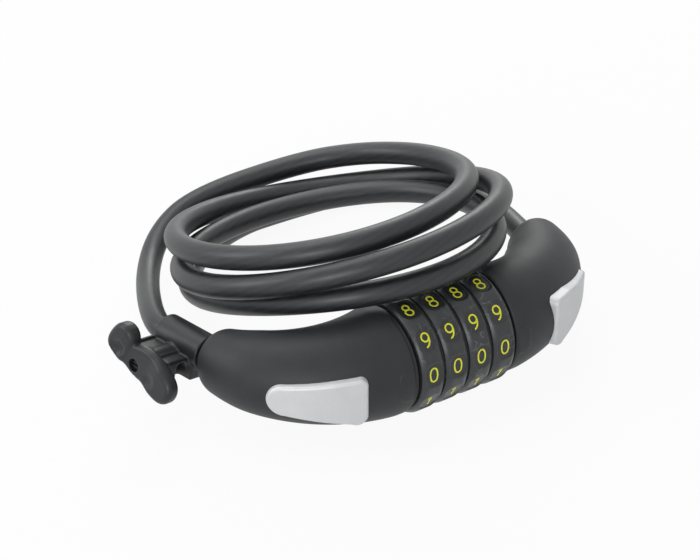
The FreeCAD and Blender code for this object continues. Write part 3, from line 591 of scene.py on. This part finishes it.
def outline_field(corners, p, q):
    """Distance to a closed outline, negative inside."""
    nearest = np.full(np.shape(p), 1e9)
    inside = np.zeros(np.shape(p), bool)
    for a, b in zip(corners, np.roll(corners, -1, 0)):
        e = b - a
        wp, wq = p - a[0], q - a[1]
        t = np.clip((wp * e[0] + wq * e[1]) / (e @ e), 0, 1)
        nearest = np.minimum(nearest, np.hypot(wp - t * e[0], wq - t * e[1]))
        crosses = (a[1] > q) != (b[1] > q)
        rise = e[1] if abs(e[1]) > 1e-9 else 1e-9
        inside ^= crosses & (wp < e[0] * wq / rise)
    return np.where(inside, -nearest, nearest)


def wing_field(x, y, z):
    """Frame saddle: two pillow lobes beside the screw, a full middle and a notch beside the upper lobe."""
    flat = outline_field(saddle_corners, x, -y) - saddle_round
    flat = join(flat, np.hypot(x, y) - arm_radius, 1.0)
    top = wing_thick + 0.9 * smooth_step((np.abs(x + 1.0) - 3.0) / 6.0) + 0.5 * smooth_step((x - 3.6) / 1.6)
    middle, half = top / 2, top / 2
    qa = flat + wing_edge
    qb = np.abs(z - middle) - half + wing_edge
    shape = np.hypot(np.maximum(qa, 0), np.maximum(qb, 0)) + np.minimum(np.maximum(qa, qb), 0) - wing_edge
    for place, reach in ((7.4, 0.2), (-7.2, -1.6)):
        dimple = np.sqrt((x - place) ** 2 + (y - reach) ** 2 + (z - wing_thick - 3.4) ** 2) - 3.5
        shape = cut(shape, dimple, 1.0)
    shape = cut(shape, rod_field(x, y, z, 2.1, 1.6, 9.0, 0.05), 0.35)
    return cut(shape, rod_field(x, y, z, 1.25, -2.0, 8.0, 0.02), 0.1) * 0.8


def bracket_piece(name, field, low, high, step, body, node, place):
    """Surface of a field, carried from the bracket's own frame to where it sits."""
    points, faces = net_surface(field, low, high, step)
    made = piece(name, place(points), faces, body, 70.0)
    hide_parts(node)
    return made


def sleeve_place(points):
    """Own X runs out along the cable; own Y toward the wing."""
    level = bracket_middle + points[:, :1] * dial_out + points[:, 1:2] * bracket_side
    return level + points[:, 2:3] * upright


def wing_place(points):
    """Own Z runs outward; the lobes lean about it."""
    along = math.cos(wing_lean) * dial_out + math.sin(wing_lean) * upright
    over = math.sin(wing_lean) * dial_out - math.cos(wing_lean) * upright
    seat = bracket_middle + bracket_side * wing_offset - upright * wing_drop
    return seat + points[:, :1] * along + points[:, 1:2] * over + points[:, 2:3] * bracket_side


clip_sleeve = bracket_piece(
    "clip_sleeve", sleeve_field, (-11.0, -6.6, -10.0), (9.6, 18.8, 6.6), 0.36,
    "bracket", "bracket_sleeve", sleeve_place,
)
clip_wing = bracket_piece(
    "clip_wing", wing_field, (-17.9, -10.2, -0.6), (13.8, 4.6, 6.2), 0.34,
    "wing", "bracket_wing", wing_place,
)


# Cable: given corners of the free stretches and stations of the coil, as in the solids
coil_centre = np.array([-3.4, 52.5 + axis_depth, 0.0])
coil_first = 0.19
coil_last = 3.2
bearing_start = 145.8
coil_reach = [62.7, 61.6, 43.0, 45.1, 52.5, 56.2, 54.6, 52.3, 50.3, 43.8, 52.7, 50.8, 48.2, 73.0, 78.0]
coil_height = [11.4, 29.4, 52.4, 54.7, 32.5, 20.0, 49.5, 49.6, 22.8, 22.6, 38.1, 40.3, 13.2, 4.6, 13.0]
turn_points = 18


def station_slopes(values):
    """Slopes of the smooth curve through evenly spaced stations."""
    last = len(values) - 1
    slopes = [0.0] * (last + 1)
    for _ in range(80):
        slopes[0] = (3 * (values[1] - values[0]) - slopes[1]) / 2
        for n in range(1, last):
            slopes[n] = (3 * (values[n + 1] - values[n - 1]) - slopes[n - 1] - slopes[n + 1]) / 4
        slopes[last] = (3 * (values[last] - values[last - 1]) - slopes[last - 1]) / 2
    return slopes


def station_value(values, slopes, quarter):
    """Value of the smooth curve between two stations, from their values and slopes."""
    n = min(int(quarter), len(values) - 2)
    u = quarter - n
    start = (2 * u ** 3 - 3 * u ** 2 + 1) * values[n] + (u ** 3 - 2 * u ** 2 + u) * slopes[n]
    return start + (3 * u ** 2 - 2 * u ** 3) * values[n + 1] + (u ** 3 - u ** 2) * slopes[n + 1]


reach_slopes = station_slopes(coil_reach)
height_slopes = station_slopes(coil_height)


def coil_point(turn, swell=1.0):
    """Point of the coil after a number of turns, clockwise seen from above."""
    reach = station_value(coil_reach, reach_slopes, turn * 4) * swell
    height = station_value(coil_height, height_slopes, turn * 4)
    bearing = math.radians(bearing_start - 360 * turn)
    return coil_centre + np.array([reach * math.cos(bearing), reach * math.sin(bearing), height])


def coil_heading(turn):
    """Unit direction of the coil after a number of turns."""
    ahead = coil_point(turn + 0.002) - coil_point(turn - 0.002)
    return ahead / np.linalg.norm(ahead)


def behind(x, y, z):
    """Point whose depth is counted from the wheels' axis."""
    return np.array([x, y + axis_depth, z])


start_heading = coil_heading(coil_first)
stop_heading = coil_heading(coil_last)
coil_start = coil_point(coil_first) - start_heading * 2 * cable_radius
coil_stop = coil_point(coil_last) + stop_heading * 2 * cable_radius
lead_route = [
    dial_exit,
    dial_exit + dial_out * 16.5,
    dial_exit + dial_out * 27.0,
    behind(-50.6, 98.5, 9.5),
    behind(-34.5, 117.2, 13.2),
    coil_start - start_heading * 20,
]
coil_route = []
swell = 1 / math.cos(math.pi / turn_points)
whole = int((coil_last - coil_first) * turn_points)
for number in range(whole):
    coil_route.append(coil_point(coil_first + (number + 0.5) / turn_points, swell))
coil_route += [coil_point(coil_last), coil_stop]
tail_route = [
    plug_exit,
    plug_exit + plug_out * 26,
    behind(73, 85.2, 10.5),
    behind(64.5, 105.2, 5.5),
    coil_stop + stop_heading * 22,
    coil_stop,
]


def route_points(name, corners):
    """Points along the smooth spline whose control points are the corners."""
    curve = bpy.data.curves.new(name, "CURVE")
    curve.dimensions = "3D"
    curve.resolution_u = 9
    spline = curve.splines.new("NURBS")
    spline.points.add(len(corners) - 1)
    for spot, corner in zip(spline.points, corners):
        spot.co = (corner[0], corner[1], corner[2], 1.0)
    spline.order_u = 3
    spline.use_endpoint_u = True
    holder = bpy.data.objects.new(name, curve)
    bpy.context.scene.collection.objects.link(holder)
    bpy.context.view_layer.update()
    mesh = bpy.data.meshes.new_from_object(holder.evaluated_get(bpy.context.evaluated_depsgraph_get()))
    points = np.array([tuple(v.co) for v in mesh.vertices])
    bpy.data.objects.remove(holder)
    bpy.data.meshes.remove(mesh)
    gap = np.linalg.norm(np.diff(points, axis=0), axis=1)
    return points[np.concatenate([[True], gap > 1e-5])]


def cable_tube(name, points):
    """Round tube along a path on frames that turn as little as they can, its lay stored in it."""
    ahead = np.gradient(points, axis=0)
    ahead /= np.linalg.norm(ahead, axis=1)[:, None]
    side = np.cross(ahead[0], [0, 0, 1.0])
    side /= np.linalg.norm(side)
    columns = 28
    rings, walked = [], [0.0]
    for number, spot in enumerate(points):
        side = side - ahead[number] * (side @ ahead[number])
        side /= np.linalg.norm(side)
        over = np.cross(ahead[number], side)
        angle = np.arange(columns) * 2 * math.pi / columns
        rings.append(spot + cable_radius * (np.cos(angle)[:, None] * side + np.sin(angle)[:, None] * over))
        if number:
            walked.append(walked[-1] + np.linalg.norm(spot - points[number - 1]))
    mesh_points = np.vstack(rings + [points[:1], points[-1:]])
    rows = len(points)
    faces = weave(rows, columns)
    for c in range(columns):
        d = (c + 1) % columns
        faces.append((c, d, rows * columns))
        faces.append(((rows - 1) * columns + d, (rows - 1) * columns + c, rows * columns + 1))
    made = piece(name, mesh_points, faces, None, 60.0)
    angle = np.tile(np.arange(columns) * 2 * math.pi / columns, rows)
    layout = (
        ("lay_along", np.append(np.repeat(walked, columns), [walked[0], walked[-1]])),
        ("lay_cos", np.append(np.cos(angle), [0, 0])),
        ("lay_sin", np.append(np.sin(angle), [0, 0])),
    )
    for label, values in layout:
        attribute = made.data.attributes.new(label, "FLOAT", "POINT")
        attribute.data.foreach_set("value", values.astype(np.float32))
    return made, walked[-1]


loop_path = route_points("loop_route", lead_route + coil_route)
loop_cable, loop_length = cable_tube("loop_cable", loop_path)
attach(loop_cable, "head")
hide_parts("cable_lead", "cable_coil")
tail_path = route_points("tail_route", tail_route)
tail_cable, tail_length = cable_tube("tail_cable", tail_path)
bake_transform(tail_cable)
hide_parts("cable_tail")
print("cable lengths", round(loop_length, 1), round(tail_length, 1))


# Shader maths
class Field:
    """A shader value whose plain arithmetic adds maths nodes to its material."""

    def __init__(self, tree, socket):
        self.tree = tree
        self.socket = socket

    def maths(self, kind, *others):
        """One maths node of a kind, this value first."""
        made = self.tree.nodes.new("ShaderNodeMath")
        made.operation = kind
        for slot, value in zip(made.inputs, (self,) + others):
            feed(self.tree, slot, value)
        return Field(self.tree, made.outputs[0])

    def __add__(self, other):
        return self.maths("ADD", other)

    def __sub__(self, other):
        return self.maths("SUBTRACT", other)

    def __mul__(self, other):
        return self.maths("MULTIPLY", other)


def feed(tree, socket, value):
    """Link a Field to a socket, or set a plain value on it."""
    if isinstance(value, Field):
        tree.links.new(value.socket, socket)
    else:
        socket.default_value = value


def add(tree, kind, output=0, settings=None, **inputs):
    """One node of a kind, its settings and inputs filled, handed back as a Field."""
    made = tree.nodes.new("ShaderNode" + kind)
    for name, value in (settings or {}).items():
        setattr(made, name, value)
    for name, value in inputs.items():
        feed(tree, made.inputs[name.replace("_", " ")], value)
    return Field(tree, made.outputs[output])


def tones(tree, factor, stops):
    """Colour ramp of (place, colour) stops."""
    made = tree.nodes.new("ShaderNodeValToRGB")
    ramp = made.color_ramp
    while len(ramp.elements) < len(stops):
        ramp.elements.new(0.5)
    for element, (place, colour) in zip(ramp.elements, stops):
        element.position = place
        element.color = (*colour, 1.0)
    feed(tree, made.inputs[0], factor)
    return Field(tree, made.outputs[0])


def grain(tree, size, detail=3.0, rough=0.55):
    """Noise with blotches of a size in millimetres, in the piece's own coordinates."""
    place = add(tree, "TexCoord", 3)
    return add(tree, "TexNoise", 0, None, Vector=place, Scale=1000.0 / size, Detail=detail, Roughness=rough)


def scuffs_and_sheen(tree, size, thin):
    """Scattered thin rubbed lines, real wear on the covers and partly painted sheen on the wheels: where a
    broad noise passes one half, inside blotches of another.
    """
    line = (grain(tree, size, 1.0) - 0.5).maths("ABSOLUTE") * -thin + 1.0
    patch = (grain(tree, size * 1.7, 1.0) - 0.5) * 8.0
    return line.maths("MAXIMUM", 0.0) * patch.maths("MAXIMUM", 0.0).maths("MINIMUM", 1.0)


def pad_share(tree):
    """1 on the floor of a wheel's pad, 0 on the land round it; it darkens the pads as painted shade."""
    return add(tree, "Attribute", 2, {"attribute_name": "in_pad"})


def finish(name, colour, roughness, bump=None, **fixed):
    """Material with node-driven colour, roughness and bump; the rest set on the shader itself."""
    made = bpy.data.materials.new(name)
    made.use_nodes = True
    tree = made.node_tree
    shader = tree.nodes["Principled BSDF"]
    feed(tree, shader.inputs["Base Color"], colour(tree))
    feed(tree, shader.inputs["Roughness"], roughness(tree))
    if bump:
        height, depth = bump(tree)
        raised = add(tree, "Bump", 0, None, Height=height, Distance=depth, Strength=1.0)
        feed(tree, shader.inputs["Normal"], raised)
    for label, value in fixed.items():
        shader.inputs[label.replace("_", " ")].default_value = value
    made.diffuse_color = (0.05, 0.05, 0.05, 1.0)
    return made


def grey(value, tint=0.0):
    """Grey colour, bluer by the tint."""
    return (value * (1 - tint), value, value * (1 + tint))


soft_black = finish(
    "soft_black",
    lambda t: tones(
        t, grain(t, 9.0) * 0.6 + grain(t, 0.5) * 0.4 + scuffs_and_sheen(t, 16.0, 90.0) * 0.12,
        [(0.3, grey(0.016, 0.09)), (0.7, grey(0.024, 0.09))],
    ),
    lambda t: grain(t, 5.0) * 0.10 + grain(t, 0.3) * 0.06 + 0.46,
    lambda t: (grain(t, 0.22, 2.0), 0.000012),
    Specular_IOR_Level=0.38,
)
# Wheel colour: pad floors darkened as painted shade in their recesses; the light grey top stop, reached on
# the rubbed lines, is partly wear and partly painted sheen on the lands.
wheel_black = finish(
    "wheel_black",
    lambda t: tones(
        t, grain(t, 3.0) * 0.5 + grain(t, 0.35) * 0.5 - pad_share(t) * 0.2 + scuffs_and_sheen(t, 5.0, 26.0) * 0.5,
        [(0.25, grey(0.010, 0.09)), (0.6, grey(0.032, 0.09)), (1.0, grey(0.11, 0.04))],
    ),
    lambda t: grain(t, 2.0) * 0.16 + grain(t, 0.25) * 0.08 + 0.27,
    lambda t: (grain(t, 0.3, 3.0), 0.000016),
    Specular_IOR_Level=0.5,
)
bracket_black = finish(
    "bracket_black",
    lambda t: tones(
        t, grain(t, 4.0) * 0.6 + grain(t, 0.4) * 0.4,
        [(0.3, grey(0.014, 0.08)), (0.7, grey(0.023, 0.08))],
    ),
    lambda t: grain(t, 3.0) * 0.14 + 0.36,
    lambda t: (grain(t, 0.35, 3.0), 0.00001),
    Specular_IOR_Level=0.38,
)


def strand(tree):
    """Wire strands seen dimly through the cable's skin: twelve waves round it, winding along it."""
    along = add(tree, "Attribute", 2, {"attribute_name": "lay_along"})
    cosine = add(tree, "Attribute", 2, {"attribute_name": "lay_cos"})
    sine = add(tree, "Attribute", 2, {"attribute_name": "lay_sin"})
    angle = sine.maths("ARCTAN2", cosine)
    wave = (angle * 12.0 + along * 0.8).maths("SINE")
    fine = (angle * 36.0 + along * 2.4).maths("SINE")
    return wave * 0.24 + fine * 0.16 + 0.5


cable_plastic = finish(
    "cable_plastic",
    lambda t: tones(
        t, strand(t) * 0.6 + grain(t, 2.5) * 0.4,
        [(0.2, grey(0.010, 0.12)), (0.55, grey(0.017, 0.12)), (0.8, grey(0.027, 0.12))],
    ),
    lambda t: grain(t, 6.0) * 0.08 + strand(t) * 0.06 + 0.38,
    lambda t: (grain(t, 1.2, 2.0) * 0.5 + strand(t) * 0.5, 0.000014),
    Specular_IOR_Level=0.5, Coat_Weight=0.1, Coat_Roughness=0.35,
)
silver_plate = finish(
    "silver_plate",
    lambda t: tones(
        t, grain(t, 6.0) * 0.5 + grain(t, 0.3) * 0.5,
        [(0.3, grey(0.60, 0.015)), (0.7, grey(0.68, 0.015))],
    ),
    lambda t: grain(t, 0.25) * 0.12 + 0.42,
    lambda t: (grain(t, 0.2, 2.0), 0.000006),
    Metallic=0.3,
)
digit_yellow = finish(
    "digit_yellow",
    lambda t: tones(t, grain(t, 0.6), [(0.3, (0.78, 0.79, 0.02)), (0.7, (0.90, 0.92, 0.05))]),
    lambda t: grain(t, 0.5) * 0.15 + 0.42,
    lambda t: (grain(t, 0.25), 0.000008),
)
steel = finish(
    "steel",
    lambda t: tones(t, grain(t, 2.0), [(0.3, grey(0.42, 0.01)), (0.7, grey(0.56, 0.01))]),
    lambda t: grain(t, 0.6) * 0.2 + 0.24,
    lambda t: (grain(t, 0.4), 0.000006),
    Metallic=1.0,
)
# Near-black steel for the screws sunk in their holes: partly the screws' dark oxide, partly painted shade
# of the holes.
dark_steel_and_hole_shade = finish(
    "dark_steel_and_hole_shade",
    lambda t: tones(t, grain(t, 2.0), [(0.3, grey(0.006, 0.02)), (0.7, grey(0.012, 0.02))]),
    lambda t: grain(t, 0.6) * 0.2 + 0.4,
    lambda t: (grain(t, 0.4), 0.000006),
    Metallic=0.4,
)
# Near-black for the flange and spacer rings down between the wheels: painted shade of the gaps between
# parts.
gap_shade_black = finish(
    "gap_shade_black",
    lambda t: tones(t, grain(t, 2.0), [(0.3, grey(0.006)), (0.7, grey(0.011))]),
    lambda t: grain(t, 0.6) * 0.1 + 0.55,
    lambda t: (grain(t, 0.4), 0.000006),
)
brass = finish(
    "brass",
    lambda t: tones(t, grain(t, 2.0), [(0.3, (0.52, 0.36, 0.12)), (0.7, (0.66, 0.48, 0.18))]),
    lambda t: grain(t, 0.6) * 0.2 + 0.25,
    lambda t: (grain(t, 0.4), 0.000006),
    Metallic=1.0,
)


def dress(made, material):
    """Give an object one material and no other."""
    made.data.materials.clear()
    made.data.materials.append(material)


slots = {
    soft_black: ("soft_black", [dial_cover, plug_cover, dial_index, plug_index]),
    wheel_black: ("wheel_black", wheels),
    silver_plate: ("silver_plate", [dial_plate, plug_plate]),
    cable_plastic: ("cable_plastic", [loop_cable, tail_cable]),
    bracket_black: ("bracket_black", [clip_sleeve, clip_wing]),
    digit_yellow: (None, numbers),
}
for material, (slot, members) in slots.items():
    for made in members:
        dress(made, material)
for name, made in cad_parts.items():
    if name.startswith(("flange", "spacer")):
        dress(made, gap_shade_black)
    elif name.startswith(("number", "dial_cover", "plug_cover")) and "screw" not in name:
        dress(made, soft_black if "cover" in name else wheel_black)
    elif name in ("bracket_sleeve", "bracket_wing"):
        dress(made, bracket_black)
    elif name == "bracket_screw" or name.endswith("cover_screw"):
        dress(made, dark_steel_and_hole_shade)
    elif name.startswith("cable") or name.endswith("root"):
        dress(made, cable_plastic)
    elif name.startswith("code") or name.endswith("ferrule"):
        dress(made, brass)
    elif name.endswith("plate"):
        dress(made, silver_plate)
    else:
        dress(made, steel)


# Floor, light and camera
def seen_rays(tree):
    """1 for rays from the camera and for those mirrored or let through on their way."""
    seen = add(tree, "LightPath", 0) + add(tree, "LightPath", 3) + add(tree, "LightPath", 6)
    return seen.maths("MINIMUM", 1.0)


def floor(whitening):
    """Pale paper floor with the shadow on it, brought near to white where it is seen or mirrored."""
    mesh = bpy.data.meshes.new("floor")
    reach = 4.0
    corners = [(-reach, -reach, 0), (reach, -reach, 0), (reach, reach, 0), (-reach, reach, 0)]
    mesh.from_pydata(corners, [], [(0, 1, 2, 3)])
    made = bpy.data.objects.new("floor", mesh)
    bpy.context.scene.collection.objects.link(made)
    material = bpy.data.materials.new("floor_white")
    material.use_nodes = True
    tree = material.node_tree
    shader = tree.nodes["Principled BSDF"]
    shader.inputs["Base Color"].default_value = (0.8, 0.8, 0.8, 1)
    shader.inputs["Roughness"].default_value = 0.9
    glow = tree.nodes.new("ShaderNodeEmission")
    glow.inputs["Color"].default_value = (1, 1, 1, 1)
    glow.inputs["Strength"].default_value = 1.0
    mix = tree.nodes.new("ShaderNodeMixShader")
    feed(tree, mix.inputs[0], seen_rays(tree) * whitening)
    tree.links.new(shader.outputs[0], mix.inputs[1])
    tree.links.new(glow.outputs[0], mix.inputs[2])
    tree.links.new(mix.outputs[0], tree.nodes["Material Output"].inputs[0])
    mesh.materials.append(material)


def lamp(name, place, aim, wide, tall, power):
    """Soft box in metres, turned toward a point."""
    data = bpy.data.lights.new(name, "AREA")
    data.shape = "RECTANGLE"
    data.size = wide
    data.size_y = tall
    data.energy = power
    made = bpy.data.objects.new(name, data)
    made.location = place
    made.rotation_euler = (Vector(aim) - Vector(place)).to_track_quat("-Z", "Y").to_euler()
    bpy.context.scene.collection.objects.link(made)


def sky(strength):
    """White all round where it is seen, dimmer where it lights the object."""
    world = bpy.data.worlds.new("studio")
    bpy.context.scene.world = world
    world.use_nodes = True
    tree = world.node_tree
    dim = tree.nodes["Background"]
    dim.inputs[0].default_value = (1, 1, 1, 1)
    dim.inputs[1].default_value = strength
    white = tree.nodes.new("ShaderNodeBackground")
    white.inputs[0].default_value = (1, 1, 1, 1)
    white.inputs[1].default_value = 1.0
    mix = tree.nodes.new("ShaderNodeMixShader")
    feed(tree, mix.inputs[0], seen_rays(tree))
    tree.links.new(dim.outputs[0], mix.inputs[1])
    tree.links.new(white.outputs[0], mix.inputs[2])
    tree.links.new(mix.outputs[0], tree.nodes["World Output"].inputs[0])


floor(0.93)
lamp("top_box", (-0.1, 0.5, 1.0), (0, 0.03, 0.02), 0.7, 0.7, 4.0)
lamp("front_box", (-0.9, -0.8, 0.4), (0, 0.02, 0.02), 0.4, 0.4, 5.5)
lamp("left_box", (-0.9, 0.5, 0.6), (0, 0.04, 0.02), 0.4, 0.6, 4.0)
lamp("right_box", (0.6, 0.85, 0.65), (0, 0.04, 0.02), 0.4, 0.6, 4.0)
sky(0.32)

# Camera where the photograph was taken from; the focal length counts the picture's pixels
photo_width = 700.0
focal_pixels = 1925.0
camera_turn = math.radians(-34.2)
camera_rise = math.radians(31.8)
camera_distance = 0.5773
camera_aim = Vector((-0.03266, axis_depth * MM, 0.05245))
view = Vector((
    math.sin(camera_turn) * math.cos(camera_rise),
    -math.cos(camera_turn) * math.cos(camera_rise),
    math.sin(camera_rise),
))
lens = bpy.data.cameras.new("camera")
lens.sensor_fit = "HORIZONTAL"
lens.sensor_width = 36.0
lens.lens = focal_pixels / photo_width * lens.sensor_width
lens.clip_start = 0.01
lens.clip_end = 50.0
camera = bpy.data.objects.new("camera", lens)
camera.location = camera_aim + view * camera_distance
camera.rotation_euler = (-view).to_track_quat("-Z", "Y").to_euler()
bpy.context.scene.collection.objects.link(camera)
bpy.context.scene.camera = camera
bpy.context.scene.view_settings.view_transform = "Standard"
